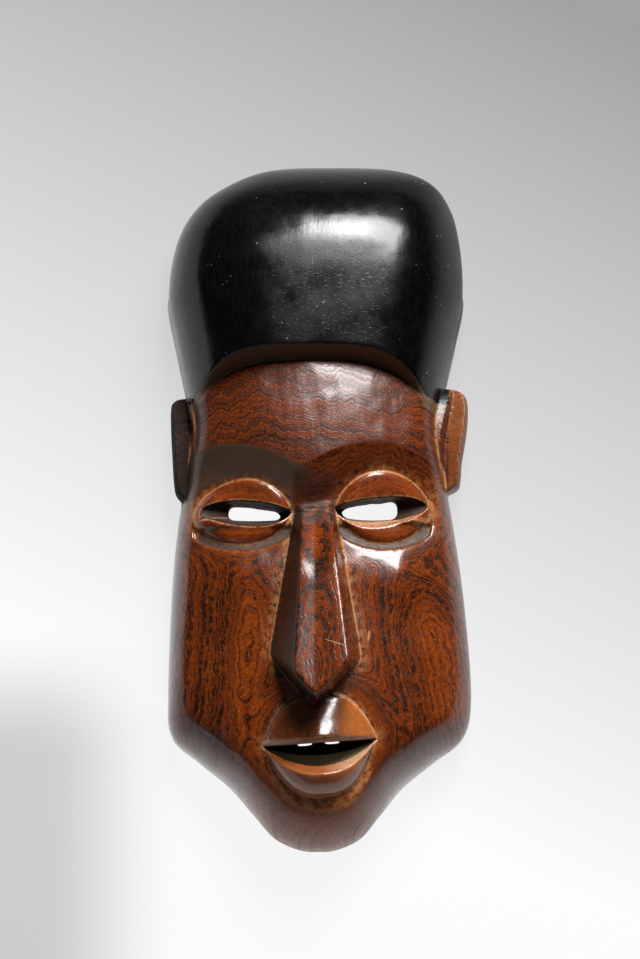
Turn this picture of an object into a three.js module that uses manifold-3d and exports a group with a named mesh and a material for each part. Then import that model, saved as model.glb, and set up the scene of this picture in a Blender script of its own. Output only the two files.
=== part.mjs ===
// A carved wooden face mask with a tall rounded head of hair, pierced eyes and an open mouth.
// It is one solid: a block carved in front, hollowed behind, and lying face up on its flat rim.
// Millimetres. X runs across the face, Y from the chin up to the crown, and Z out of the face.
// The origin is in the middle of the mask, on the plane of the rim.

import * as THREE from "three";
import { mergeVertices } from "three/addons/utils/BufferGeometryUtils.js";
import Module from "manifold-3d";

const wasm = await Module();
wasm.setup();

// The block: its outline's right half from the crown to the chin, as half widths and heights.
const HALF_LENGTH = 205;
const OUTLINE = [
  [0, 205], [35, 201], [60, 190.5], [78.5, 174.5], [86.5, 152], [88.4, 125], [84.5, 103], [78.7, 76],
  [75, 58], [73.5, 38], [77.4, 12], [81.6, -14], [86, -54], [89, -112], [85.5, -137], [68, -152.5],
  [50.5, -167], [37, -183], [22.5, -198.5], [0, -205],
];
const OUTLINE_STEPS = 220;
const END_TRIM = 0.5; // the crown and the chin end in a short flat

// The middle line wanders from side to side, as it was cut by eye: height, and shift in X.
const MIDDLE_LINE = [
  [-205, 0], [-153, -1], [-113, 1], [-3, -1.5], [107, -1.7], [157, 0], [178, 3.4], [192, 8.5], [205, 9],
];

// The hair: a squared dome that stands proud of the forehead, over a thin arched brim.
const HAIR = { wallTop: 10, height: 76, widest: 125, topRun: 80.5, topPower: 2.3, sidePower: 4, frontDrop: 3,
  frontRun: 40 };
const HAIR_ROOF = { x: -7, left: 0.06, right: 0.015, round: 3 }; // the dome leans a little to each side
const BRIM = { middle: -5, y: 81.5, drop: 22, halfWidth: 67, lowest: 57, bevel: 6.5, sunk: 2 };

// The forehead, and the two brows that meet in a V over the nose.
const FOREHEAD = { z: 70, swell: 4, swellY: 50, swellRun: 40, radius: 115 };
const BROW = { middle: -9.5, reach: 45, topY: 26, lowest: 4, curve: 0.0086, slope: 0.7, edge: 0.7, foot: 5 };

// The face behind the features: its height along the middle, and its radius across.
const FACE_HEIGHT = [
  [-205, 37], [-198, 46], [-186, 54], [-168, 57.5], [-143, 59], [-103, 61], [-63, 60.5], [-33, 58.5],
  [-3, 57], [90, 60],
];
const FACE_RADIUS = [[-205, 60], [-185, 80], [-163, 105], [-133, 140], [-63, 160], [90, 160]];
const CHEEKBONE = { x: 48, y: -49, height: 4.5, spreadX: 22, spreadY: 20 };
const FLANK = { foot: 6, width: 12.5, power: 2.3 }; // the face rounds over into its sides

// The eyes: a lid swelling in a sunken socket.
const LIDS = [
  { x: -44, y: -13, tilt: -0.03, half: 30, up: 20, down: 21.7, fullness: 0.7 },
  { x: 38.2, y: -10, tilt: 0.06, half: 29, up: 21, down: 24, fullness: 0.7 },
];
const LID = { swell: 7.5, sunk: 1.5, floor: 42 };
const SOCKET = { depth: 3.5, wider: 1.22, higher: 1.5 };

// Each lid is cut by a slit that narrows to a pocket, with a window through the pocket's floor.
const SLITS = [
  { x: -43.1, y: -12.6, tilt: -0.03, half: 27.3, fullness: 0.58, skew: -0.45, up: 7, down: 12.5,
    lowUp: 5.6, lowDown: 3.1, window: [-52.4, -21.5] },
  { x: 37, y: -9, tilt: 0.054, half: 27.1, fullness: 0.58, skew: 0.45, up: 4.2, down: 17.3,
    lowUp: 3.4, lowDown: 6.2, window: [13.8, 46.4] },
];
const SLIT = { surfaceZ: 63, pocketZ: 44, top: 84, windowFloor: 30 };

// The nose: a long wedge. Its bridge rises steeply at first, then gently to a blunt point.
const NOSE = { middle: -1.6, topY: -5, topHalf: 10.8, topZ: 59.5, tipY: -129, sunk: 1, floor: 45 };
const NOSE_RISE = { upper: 64, lowerFrom: 75.4, lower: 22.6, turn: 3 };
const NOSTRILS = [
  { side: -1, half: 26.5, y: -98, bend: 1.15 },
  { side: 1, half: 26.8, y: -101, bend: 1.15 },
];
const BRIDGE = { half: 7.2, widening: 9.5, lean: 0.11 };

// The lips: a beaked upper lip, bevelled below, over a full lower lip with three facets.
const LIPS = { x: 1, y: -149, tilt: 0.07, half: 33, up: 27, down: 32, upPower: 3, downPower: 2.7, sunk: 1 };
const UPPER_LIP = { height: 16.5, edge: -3.2, bevel: 3.6, bevelSlope: 1.3, fullness: 0.8, swell: 0.8 };
const LOWER_LIP = { height: 17, inner: -15, innerHigh: 0.4, crest: 0.39, turn: 0.61, turnHigh: 0.9 };
const LIP_FLOOR = 46;

// The open mouth: a plate behind the lips, a groove under the upper one, and two small windows.
const MOUTH = { plateZ: 52, grooveZ: 44, grooveTop: 49, grooveMore: 20, grooveRise: -6.6, grooveShare: 0.5,
  grooveReach: 0.93, top: 84 };
const MOUTH_SLOT = { x: -0.6, rise: 1.2, high: 1.4, half: 4.3, bridge: 3.6, top: 46 };

// The ears: plates on the flanks, hollowed in front, each with its reach outwards at some heights.
const EARS = [
  { side: -1, reach: [[0.5, 79], [3, 82], [8, 84.5], [30, 86.2], [45, 87], [57, 87], [61, 85.5], [63, 80]] },
  { side: 1, reach: [[6, 79], [8, 81.5], [11, 83.8], [24, 85], [43, 88], [57, 88.8], [65, 87], [68.5, 81]] },
];
const EAR = { root: 64, ridge: 72, ridgeTurnY: 37, ridgeLean: 0.22, ridgeZ: 39, hollowShare: 0.24,
  hollowZ: 27, rimZ: 34, rimWidth: 2.4, rimShare: 0.4, thinnest: 0.2, edgeZ: 22, endZ: 25, backZ: 12,
  backGap: 4, rows: 14 };

// The hollow behind: its ceiling along the middle, and how fast its walls rise from the rim.
const RIM_WIDTH = 11;
const HOLLOW = { slope: 2, round: 10, radius: 260, lowest: 0.2, floor: -5, searchStep: 0.5 };
const HOLLOW_CEILING = [
  [-205, 18], [-173, 31], [-123, 39], [-63, 42], [17, 43], [87, 50], [147, 52], [205, 38],
];

// How finely the broad forms are stepped: from each place on, steps of about this size.
const ACROSS = [[-1, 0.035], [-0.86, 0.072], [0.86, 0.035]];
const FACE_ROWS = [
  [-HALF_LENGTH + END_TRIM, 1.5], [-197, 4], [-145, 7.5], [BROW.lowest, 4.5], [BROW.topY, 3], [40, 8],
];
const FACE_LAST_ROW = 97;
const BROW_BEND_REACH = 40;
const HAIR_ROWS = [[0, 0.07], [0.6, 0.05], [0.9, 0.025]];
const HOLLOW_ACROSS = [[-1, 0.1], [-0.6, 0.24], [0.6, 0.1]];
const HOLLOW_ROWS = [[RIM_WIDTH - HALF_LENGTH, 5], [-150, 14], [150, 5]];
const FITTING_ROUNDS = 6;

// The nose across each row: 0 on the ridge, 1 on the bridge's edge and 2 at the foot.
const NOSE_PARTS = [2, 1.7, 1.35, 1, 0.5];
const NOSE_ROWS = 12;

// The lips' rows: on the upper one from its bevel to its top, on the lower one from its foot to its inside.
const LIP_COLUMNS = 16;
const UPPER_LIP_ROWS = [0, 0.15, 0.32, 0.5, 0.68, 0.85, 1];
const LOWER_LIP_ROWS = [1, 0.96, 0.88, 0.76, LOWER_LIP.turn, LOWER_LIP.crest, 0];
const LID_GRID = { columns: 16, rows: 10 };
const SLIT_GRID = { columns: 14, rows: 2 };

// Slivers and specks that the cuts leave are smoothed away below this size.
const SMALLEST_DETAIL = 0.1;

// Small helpers
const clamp = (v, lo, hi) => Math.min(hi, Math.max(lo, v));
const softMin = (a, b, k) => {
  const h = Math.max(k - Math.abs(a - b), 0) / k;
  return Math.min(a, b) - (h * h * k) / 4;
};
const softMax = (a, b, k) => -softMin(-a, -b, k);
const sag = (x, radius) => radius - Math.sqrt(Math.max(radius * radius - x * x, 0));
const steps = (from, to, count) =>
  Array.from({ length: count + 1 }, (_, i) => from + ((to - from) * i) / count);

// Steps from -1 to 1 that crowd towards both ends, where a swelling is steepest.
const swellSteps = (count) => steps(-Math.PI / 2, Math.PI / 2, count).map(Math.sin);

// A smooth curve through a short list of stations, sampled at v.
function along(stations, v) {
  let i = 0;
  while (i < stations.length - 2 && v > stations[i + 1][0]) i += 1;
  const at = (n) => stations[clamp(n, 0, stations.length - 1)];
  const [x0, y0] = at(i);
  const [x1, y1] = at(i + 1);
  const slope = (n) => (at(n + 1)[1] - at(n - 1)[1]) / (at(n + 1)[0] - at(n - 1)[0]);
  const t = clamp((v - x0) / (x1 - x0), 0, 1);
  const span = x1 - x0;
  const t2 = t * t;
  const t3 = t2 * t;
  return y0 * (2 * t3 - 3 * t2 + 1) + slope(i) * span * (t3 - 2 * t2 + t)
    + y1 * (3 * t2 - 2 * t3) + slope(i + 1) * span * (t3 - t2);
}

const shiftAt = (y) => along(MIDDLE_LINE, y);

// The closed outline as points, from the control points and their mirror image.
const outlinePoints = (() => {
  const right = OUTLINE.map(([x, y]) => new THREE.Vector3(x, y, 0));
  const left = OUTLINE.slice(1, -1).reverse().map(([x, y]) => new THREE.Vector3(-x, y, 0));
  const curve = new THREE.CatmullRomCurve3([...right, ...left], true, "catmullrom", 0.5);
  return curve.getPoints(OUTLINE_STEPS);
})();

// Half the width of the outline at a height y.
function halfWidth(y) {
  let best = 0;
  for (let i = 0; i < outlinePoints.length - 1; i += 1) {
    const a = outlinePoints[i];
    const b = outlinePoints[i + 1];
    if (a.y === b.y || (a.y - y) * (b.y - y) > 0) continue;
    best = Math.max(best, Math.abs(a.x + ((b.x - a.x) * (y - a.y)) / (b.y - a.y)));
  }
  return best;
}

// How far a point lies inside the outline.
function inside(x, y) {
  const px = x - shiftAt(y);
  let best = Infinity;
  for (let i = 0; i < outlinePoints.length - 1; i += 1) {
    const a = outlinePoints[i];
    const b = outlinePoints[i + 1];
    const ex = b.x - a.x;
    const ey = b.y - a.y;
    const t = clamp(((px - a.x) * ex + (y - a.y) * ey) / (ex * ex + ey * ey || 1), 0, 1);
    best = Math.min(best, Math.hypot(px - a.x - t * ex, y - a.y - t * ey));
  }
  return Math.abs(px) <= halfWidth(y) ? best : -best;
}

// Heights of the broad forms
function brimY(x) {
  const across = Math.abs(x - BRIM.middle) / BRIM.halfWidth;
  return Math.max(BRIM.y - BRIM.drop * across ** 4, BRIM.lowest);
}

function browY(x) {
  const beyond = Math.abs(x - BROW.middle) - BROW.reach;
  return Math.max(BROW.topY - BROW.curve * beyond * beyond, BROW.lowest);
}

function hairZ(x, y) {
  const width = y > HAIR.widest ? halfWidth(HAIR.widest) : halfWidth(y);
  const top = Math.max(y - HAIR.widest, 0) / HAIR.topRun;
  const side = Math.abs(x - shiftAt(y)) / width;
  const left = Math.max(1 - top ** HAIR.topPower - side ** HAIR.sidePower, 0);
  const forward = Math.max(HAIR.widest - y, 0) / HAIR.frontRun;
  const aside = x - HAIR_ROOF.x;
  const lean = aside < 0 ? HAIR_ROOF.left : HAIR_ROOF.right;
  const roof = lean * (Math.hypot(aside, HAIR_ROOF.round) - HAIR_ROOF.round);
  return HAIR.wallTop + (HAIR.height - HAIR.frontDrop * forward * forward - roof) * Math.sqrt(left);
}

function foreheadZ(x, y) {
  const rise = 1 - ((y - FOREHEAD.swellY) / FOREHEAD.swellRun) ** 2;
  return FOREHEAD.z + FOREHEAD.swell * rise - sag(x, FOREHEAD.radius);
}

// Where a point lies in an almond: how far along it, and how far out from its middle line.
function inAlmond(almond, x, y) {
  const dx = x - almond.x;
  const dy = y - almond.y;
  const u = (dx * Math.cos(almond.tilt) + dy * Math.sin(almond.tilt)) / almond.half;
  const rise = dy * Math.cos(almond.tilt) - dx * Math.sin(almond.tilt);
  return { u, rise };
}

function socketDepth(x, y) {
  let depth = 0;
  for (const lid of LIDS) {
    const { u, rise } = inAlmond(lid, x, y);
    const out = (u / SOCKET.wider) ** 2 + (rise / (SOCKET.higher * (rise > 0 ? lid.up : lid.down))) ** 2;
    depth += SOCKET.depth * Math.max(1 - out, 0) ** 2;
  }
  return depth;
}

function cheekZ(x, y) {
  const bone = (side) => Math.exp(-(((x - side * CHEEKBONE.x) / CHEEKBONE.spreadX) ** 2)
    - ((y - CHEEKBONE.y) / CHEEKBONE.spreadY) ** 2);
  const plain = along(FACE_HEIGHT, y) - sag(x, along(FACE_RADIUS, y));
  return plain + CHEEKBONE.height * (bone(-1) + bone(1)) - socketDepth(x, y);
}

// The face with its forehead, brows and cheeks, before the eyes, nose and lips.
function faceZ(x, y) {
  const crease = browY(x);
  const brow = foreheadZ(x, crease) + BROW.slope * (y - crease);
  const upper = softMin(foreheadZ(x, y), brow, BROW.edge);
  const outward = 1 - clamp(inside(x, y) / FLANK.width, 0, 1);
  const rounding = (1 - outward ** FLANK.power) ** (1 / FLANK.power);
  return FLANK.foot + (softMax(upper, cheekZ(x, y), BROW.foot) - FLANK.foot) * rounding;
}

// Geometry helpers
function geometryOf(vertices, triangles) {
  const geometry = new THREE.BufferGeometry();
  geometry.setAttribute("position", new THREE.Float32BufferAttribute(vertices, 3));
  geometry.setIndex(triangles);
  return geometry;
}

// A closed geometry as a solid that can be joined and cut.
function solid(geometry) {
  const bare = geometry.clone();
  bare.deleteAttribute("normal");
  bare.deleteAttribute("uv");
  const merged = mergeVertices(bare, 1e-4);
  const index = Array.from(merged.index.array);
  const kept = [];
  for (let i = 0; i < index.length; i += 3) {
    const [a, b, c] = index.slice(i, i + 3);
    if (a !== b && b !== c && a !== c) kept.push(a, b, c);
  }
  const vertProperties = new Float32Array(merged.attributes.position.array);
  return new wasm.Manifold(new wasm.Mesh({ numProp: 3, vertProperties, triVerts: new Uint32Array(kept) }));
}

// A closed solid between two grids of points with the same rows and columns, the upper one first.
function between(upper, lower) {
  const wide = upper[0].length;
  const high = upper.length;
  const vertices = [...upper.flat(), ...lower.flat()].flat();
  const triangles = [];
  const quad = (a, b, c, d) => triangles.push(a, b, c, a, c, d);
  const top = (r, c) => r * wide + c;
  const base = (r, c) => high * wide + r * wide + c;
  for (let r = 0; r < high - 1; r += 1) {
    for (let c = 0; c < wide - 1; c += 1) {
      quad(top(r, c), top(r, c + 1), top(r + 1, c + 1), top(r + 1, c));
      quad(base(r, c), base(r + 1, c), base(r + 1, c + 1), base(r, c + 1));
    }
    quad(top(r, 0), top(r + 1, 0), base(r + 1, 0), base(r, 0));
    quad(top(r + 1, wide - 1), top(r, wide - 1), base(r, wide - 1), base(r + 1, wide - 1));
  }
  for (let c = 0; c < wide - 1; c += 1) {
    quad(top(0, c + 1), top(0, c), base(0, c), base(0, c + 1));
    quad(top(high - 1, c), top(high - 1, c + 1), base(high - 1, c + 1), base(high - 1, c));
  }
  return solid(geometryOf(vertices, triangles));
}

// A closed solid under a grid of points, down to a level floor.
function solidUnder(grid, floor) {
  const wide = grid[0].length;
  const high = grid.length;
  const vertices = grid.flat(2);
  const triangles = [];
  const at = (r, c) => r * wide + c;
  for (let r = 0; r < high - 1; r += 1) {
    for (let c = 0; c < wide - 1; c += 1) {
      triangles.push(at(r, c), at(r, c + 1), at(r + 1, c + 1), at(r, c), at(r + 1, c + 1), at(r + 1, c));
    }
  }
  const corners = [
    ...grid[0].keys().map((c) => at(0, c)),
    ...grid.keys().map((r) => at(r, wide - 1)),
    ...grid[0].keys().map((c) => at(high - 1, wide - 1 - c)),
    ...grid.keys().map((r) => at(high - 1 - r, 0)),
  ];
  const place = (i) => vertices.slice(3 * i, 3 * i + 2);
  const apart = (i, j) => Math.hypot(place(i)[0] - place(j)[0], place(i)[1] - place(j)[1]) > 1e-3;
  const edge = corners.filter((i, n) => apart(i, corners[(n + 1) % corners.length]));
  const first = vertices.length / 3;
  edge.forEach((i) => vertices.push(...place(i), floor));
  edge.forEach((i, n) => {
    const m = (n + 1) % edge.length;
    triangles.push(i, first + n, first + m, i, first + m, edge[m]);
  });
  const flat = edge.map((i) => new THREE.Vector2(...place(i)));
  const underside = THREE.ShapeUtils.triangulateShape(flat, []);
  underside.forEach(([a, b, c]) => triangles.push(first + c, first + b, first + a));
  return solid(geometryOf(vertices, triangles));
}

// The same solid without slivers: corners joined by an edge under the smallest detail become one.
function welded(made) {
  const { vertProperties, triVerts } = made.getMesh();
  const corner = (i) => new THREE.Vector3().fromArray(vertProperties, 3 * i);
  const stands = Array.from({ length: vertProperties.length / 3 }, (_, i) => i);
  const standIn = (i) => (stands[i] === i ? i : standIn(stands[i]));
  for (let t = 0; t < triVerts.length; t += 3) {
    const triangle = triVerts.slice(t, t + 3);
    triangle.forEach((a, n) => {
      const b = triangle[(n + 1) % 3];
      if (corner(a).distanceTo(corner(b)) > SMALLEST_DETAIL) return;
      const [low, high] = [standIn(a), standIn(b)].sort((p, q) => p - q);
      stands[high] = low;
    });
  }
  return solid(geometryOf(Array.from(vertProperties), Array.from(triVerts, standIn)));
}

// Numbers from one station to the next, each stretch in steps of about its own size.
function stations(stretches, last) {
  return stretches.flatMap(([from, step], i) => {
    const to = i + 1 < stretches.length ? stretches[i + 1][0] : last;
    const count = Math.max(Math.round((to - from) / step), 1);
    return steps(from, to, count).slice(0, -1);
  }).concat(last);
}

// Columns from the left edge to the right, closer together where the flanks turn under.
const COLUMNS = stations(ACROSS, 1);

// The face block. Its rows bend to follow the brows, so that their edge comes out clean.
function faceBlock() {
  const rows = stations(FACE_ROWS, FACE_LAST_ROW);
  const bent = (row, x) => {
    const near = 1 - Math.abs(row - BROW.topY) / BROW_BEND_REACH;
    return row + clamp(near, 0, 1) * (browY(x) - BROW.topY);
  };
  const grid = rows.map((row) => COLUMNS.map((share) => {
    let reach = halfWidth(row);
    for (let i = 0; i < FITTING_ROUNDS; i += 1) reach = halfWidth(bent(row, share * reach));
    const y = bent(row, share * reach);
    const x = share * reach + shiftAt(y);
    return [x, y, faceZ(x, y)];
  }));
  return solidUnder(grid, 0);
}

// The hair, from a bevel under its brim to the crown.
function hair() {
  const shares = stations(HAIR_ROWS, 1);
  const rowAt = (share, x) => {
    const foot = brimY(x);
    return foot + (HALF_LENGTH - END_TRIM - foot) * share;
  };
  const row = (share, lift, heightAt) => COLUMNS.map((column) => {
    let reach = halfWidth(rowAt(share, 0));
    for (let i = 0; i < FITTING_ROUNDS; i += 1) reach = halfWidth(rowAt(share, column * reach));
    const y = rowAt(share, column * reach);
    const x = column * reach + shiftAt(y);
    return [x, y - lift, heightAt(x, y)];
  });
  const footZ = (x, y) => Math.min(faceZ(x, y - BRIM.bevel) - BRIM.sunk, hairZ(x, y));
  const foot = row(0, BRIM.bevel, footZ);
  return solidUnder([foot, ...shares.map((share) => row(share, 0, hairZ))], 0);
}

// A grid over an almond, from its lower edge to its upper one, and from one place along it to another.
function almondGrid(almond, { columns, rows }, heightAt, from = -1, to = 1) {
  const cos = Math.cos(almond.tilt);
  const sin = Math.sin(almond.tilt);
  const skew = almond.skew ?? 0;
  return swellSteps(rows).map((v) => swellSteps(columns).map((place) => {
    const u = from + ((to - from) * (place + 1)) / 2;
    const taper = Math.max(1 - u * u, 0) ** almond.fullness;
    const rise = v * taper * (v > 0 ? almond.up * (1 + skew * u) : almond.down);
    const run = u * almond.half;
    const x = almond.x + run * cos - rise * sin;
    const y = almond.y + run * sin + rise * cos;
    return [x, y, heightAt(x, y, u, v)];
  }));
}

function lid(almond) {
  const swell = (x, y, u, v) =>
    faceZ(x, y) - LID.sunk + (LID.swell + LID.sunk) * Math.sqrt(Math.max(1 - v * v, 0)) * (1 - u ** 4);
  return solidUnder(almondGrid(almond, LID_GRID, swell), LID.floor);
}

// The cut of one eye: open above, narrowing down to its pocket, then the window.
function slit(almond) {
  const narrowed = { ...almond, up: almond.lowUp, down: almond.lowDown };
  const level = (shape, z, from, to) => almondGrid(shape, SLIT_GRID, () => z, from, to);
  const ends = almond.window.map((x) => (x - almond.x) / almond.half);
  const open = between(level(almond, SLIT.top), level(almond, SLIT.surfaceZ));
  const pocket = between(level(almond, SLIT.surfaceZ), level(narrowed, SLIT.pocketZ));
  const [upper, lower] = [SLIT.pocketZ + 1, SLIT.windowFloor];
  const seen = between(level(narrowed, upper, ...ends), level(narrowed, lower, ...ends));
  return open.add(pocket).add(seen);
}

// The nose: rows run from its root to its lower edge, which curves up from the tip to each nostril.
function nose() {
  const row = (t) => {
    const upper = NOSE.topZ + NOSE_RISE.upper * t;
    const ridge = softMin(upper, NOSE_RISE.lowerFrom + NOSE_RISE.lower * t, NOSE_RISE.turn);
    const place = ({ side, half, y, bend }, part) => {
      const wide = NOSE.topHalf + (half - NOSE.topHalf) * t;
      const flat = (BRIDGE.half + BRIDGE.widening * t) / wide;
      const share = part < 1 ? flat * part : flat + (1 - flat) * (part - 1);
      const dx = side * share * wide;
      const lowest = NOSE.tipY + (y - NOSE.tipY) * share ** bend;
      const at = [NOSE.middle + dx, NOSE.topY + (lowest - NOSE.topY) * t];
      const foot = faceZ(...at) - NOSE.sunk;
      const crown = ridge + BRIDGE.lean * dx;
      return [...at, part < 1 ? crown : foot + (Math.max(crown, foot + 1) - foot) * (2 - part)];
    };
    const left = NOSE_PARTS.map((part) => place(NOSTRILS[0], part));
    const right = NOSE_PARTS.map((part) => place(NOSTRILS[1], part)).reverse();
    return [...left, place(NOSTRILS[0], 0), ...right];
  };
  return solidUnder(steps(1, 0, NOSE_ROWS).map(row), NOSE.floor);
}

// A grid over the lips: at each place across them, points at some rises above their middle line.
function lipGrid(risesAt, heightAt, reach = 1) {
  const cos = Math.cos(LIPS.tilt);
  const sin = Math.sin(LIPS.tilt);
  const rows = risesAt(0).length;
  return Array.from({ length: rows }, (_, row) => swellSteps(LIP_COLUMNS).map((place) => {
    const u = place * reach;
    const rise = risesAt(u)[row];
    const run = u * LIPS.half;
    const x = LIPS.x + run * cos - rise * sin;
    const y = LIPS.y + run * sin + rise * cos;
    return [x, y, heightAt(x, y, u, row)];
  }));
}

const lipTop = (u) => LIPS.up * (1 - Math.abs(u) ** LIPS.upPower);
const lipBottom = (u) => -LIPS.down * (1 - Math.abs(u) ** LIPS.downPower);
const upperEdge = (u) => UPPER_LIP.edge * (1 - u * u);
const lowerEdge = (u) => LOWER_LIP.inner * (1 - u * u);

function upperLip() {
  const shares = UPPER_LIP_ROWS;
  const bevelAt = (u) => Math.min(UPPER_LIP.bevel * Math.sqrt(1 - u * u), (lipTop(u) - upperEdge(u)) / 2);
  const rises = (u) => {
    const from = upperEdge(u) + bevelAt(u);
    return [upperEdge(u), ...shares.map((share) => from + (lipTop(u) - from) * share)];
  };
  const height = (x, y, u, row) => {
    const flat = 1 - u * u;
    const full = UPPER_LIP.height * flat ** UPPER_LIP.fullness + LIPS.sunk * flat;
    if (row === 0) return faceZ(x, y) - LIPS.sunk + full - UPPER_LIP.bevelSlope * bevelAt(u);
    const down = ((1 - shares[row - 1]) * Math.PI) / 2;
    return faceZ(x, y) - LIPS.sunk + full * Math.sin(down) ** UPPER_LIP.swell;
  };
  return solidUnder(lipGrid(rises, height), LIP_FLOOR);
}

function lowerLip() {
  const shares = LOWER_LIP_ROWS;
  const rises = (u) => shares.map((share) => lowerEdge(u) + (lipBottom(u) - lowerEdge(u)) * share);
  const profile = (share) => {
    const { innerHigh, crest, turn, turnHigh } = LOWER_LIP;
    const inner = innerHigh + ((1 - innerHigh) * share) / crest;
    const front = 1 - ((1 - turnHigh) * (share - crest)) / (turn - crest);
    const under = turnHigh * Math.sqrt((1 - share) / (1 - turn));
    return Math.min(inner, front, under);
  };
  const height = (x, y, u, row) =>
    faceZ(x, y) - LIPS.sunk + (LOWER_LIP.height + LIPS.sunk) * (1 - u * u) * profile(shares[row]);
  return solidUnder(lipGrid(rises, height), LIP_FLOOR);
}

function mouthRecess() {
  const gap = (u) => [lowerEdge(u), upperEdge(u)];
  return between(lipGrid(gap, () => MOUTH.top), lipGrid(gap, () => MOUTH.plateZ));
}

function mouthGroove() {
  const rises = (u) => [
    MOUTH.grooveRise * (1 - u * u),
    upperEdge(u) + MOUTH.grooveShare * (lipTop(u) - upperEdge(u)),
  ];
  const roof = (x, y, u) => MOUTH.grooveTop + MOUTH.grooveMore * (1 - u * u);
  const upper = lipGrid(rises, roof, MOUTH.grooveReach);
  const lower = lipGrid(rises, () => MOUTH.grooveZ, MOUTH.grooveReach);
  return between(upper, lower);
}

function mouthSlot(side) {
  const shape = new THREE.Shape();
  shape.absellipse(0, 0, MOUTH_SLOT.half, MOUTH_SLOT.high, 0, Math.PI * 2);
  const settings = { depth: MOUTH_SLOT.top, bevelEnabled: false, curveSegments: 8 };
  const geometry = new THREE.ExtrudeGeometry(shape, settings);
  geometry.translate(MOUTH_SLOT.x + side * (MOUTH_SLOT.bridge + MOUTH_SLOT.half), MOUTH_SLOT.rise, 0);
  geometry.rotateZ(LIPS.tilt);
  geometry.translate(LIPS.x, LIPS.y, 0);
  return solid(geometry);
}

// An ear: across it run a ridge at the root, a hollow, the rim and the outer edge.
function ear({ side, reach }) {
  const bottom = reach[0][0];
  const top = reach.at(-1)[0];
  const rows = steps(0, Math.PI, EAR.rows).map((a) => bottom + ((top - bottom) * (1 - Math.cos(a))) / 2);
  const front = rows.map((y) => {
    const outer = along(reach, y);
    const full = Math.sqrt(Math.sin((Math.PI * (y - bottom)) / (top - bottom)));
    const ridge = EAR.ridge + EAR.ridgeLean * Math.max(y - EAR.ridgeTurnY, 0);
    const wide = Math.max(outer - ridge, EAR.thinnest);
    const rim = outer - Math.min(EAR.rimWidth, wide * EAR.rimShare);
    const height = (z) => EAR.endZ + (z - EAR.endZ) * full;
    const section = [
      [EAR.root, height(EAR.ridgeZ)],
      [ridge, height(EAR.ridgeZ)],
      [ridge + (rim - ridge) * EAR.hollowShare, height(EAR.hollowZ)],
      [rim, height(EAR.rimZ)],
      [outer, EAR.edgeZ],
    ];
    return section.map(([x, z]) => [side * x, y, z]);
  });
  const ordered = side > 0 ? front : front.map((row) => [...row].reverse());
  const back = ordered.map((row) => row.map(([x, y, z]) => [x, y, Math.min(EAR.backZ, z - EAR.backGap)]));
  return between(ordered, back);
}

// The hollow, from the rim's plane up to its ceiling.
function hollow() {
  const rows = stations(HOLLOW_ROWS, HALF_LENGTH - RIM_WIDTH);
  const columns = stations(HOLLOW_ACROSS, 1);
  const grid = rows.map((y) => {
    let reach = halfWidth(y);
    while (reach > 1 && inside(reach + shiftAt(y), y) < RIM_WIDTH) reach -= HOLLOW.searchStep;
    return columns.map((share) => {
      const x = share * reach + shiftAt(y);
      const wall = HOLLOW.slope * (inside(x, y) - RIM_WIDTH);
      const ceiling = along(HOLLOW_CEILING, y) - sag(x, HOLLOW.radius);
      return [x, y, Math.max(softMin(wall, ceiling, HOLLOW.round), HOLLOW.lowest)];
    });
  });
  return solidUnder(grid, HOLLOW.floor);
}

function mask() {
  let made = faceBlock().add(hair()).add(nose()).add(upperLip()).add(lowerLip());
  for (const one of LIDS) made = made.add(lid(one));
  for (const one of EARS) made = made.add(ear(one));
  made = made.subtract(mouthRecess()).subtract(mouthGroove()).subtract(hollow());
  for (const one of SLITS) made = made.subtract(slit(one));
  for (const side of [-1, 1]) made = made.subtract(mouthSlot(side));
  const parts = welded(made).simplify(SMALLEST_DETAIL).decompose();
  return parts.sort((a, b) => b.volume() - a.volume())[0];
}

function meshOf(made, name, material) {
  const { vertProperties, triVerts, numProp } = made.getMesh();
  const vertices = [];
  for (let i = 0; i < vertProperties.length; i += numProp) {
    vertices.push(vertProperties[i], vertProperties[i + 1], vertProperties[i + 2]);
  }
  const geometry = geometryOf(vertices, Array.from(triVerts));
  geometry.computeVertexNormals();
  const mesh = new THREE.Mesh(geometry, material);
  mesh.name = name;
  return mesh;
}

const carvedWood = new THREE.MeshStandardMaterial({ color: 0x6b3216, roughness: 0.35, metalness: 0 });

const carvedMask = new THREE.Group();
carvedMask.add(meshOf(mask(), "mask", carvedWood));

export default carvedMask;
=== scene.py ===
import math

import bpy
import numpy as np
from mathutils import Matrix, Vector


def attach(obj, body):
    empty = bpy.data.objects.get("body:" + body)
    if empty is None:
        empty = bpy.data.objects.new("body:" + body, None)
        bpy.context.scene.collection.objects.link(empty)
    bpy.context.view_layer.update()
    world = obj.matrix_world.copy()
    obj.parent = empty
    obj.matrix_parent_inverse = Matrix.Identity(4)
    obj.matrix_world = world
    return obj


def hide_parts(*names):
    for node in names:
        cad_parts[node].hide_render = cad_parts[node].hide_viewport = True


# A carved face mask of polished red-brown hardwood, lying face up. Its hair is painted black.
# Shapes are worked out in millimetres and made in metres: X across, Y to the crown, Z out of the face.

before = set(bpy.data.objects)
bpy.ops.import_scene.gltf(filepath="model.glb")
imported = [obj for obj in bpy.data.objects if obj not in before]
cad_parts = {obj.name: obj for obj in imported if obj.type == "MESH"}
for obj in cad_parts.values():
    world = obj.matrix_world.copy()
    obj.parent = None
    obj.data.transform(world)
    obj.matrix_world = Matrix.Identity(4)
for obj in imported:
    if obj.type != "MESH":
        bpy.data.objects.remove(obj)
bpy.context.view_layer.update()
scene = bpy.context.scene
MM = 0.001


class Sizes:
    """A group of numbers, each under its name."""

    def __init__(self, **numbers):
        vars(self).update(numbers)


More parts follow.
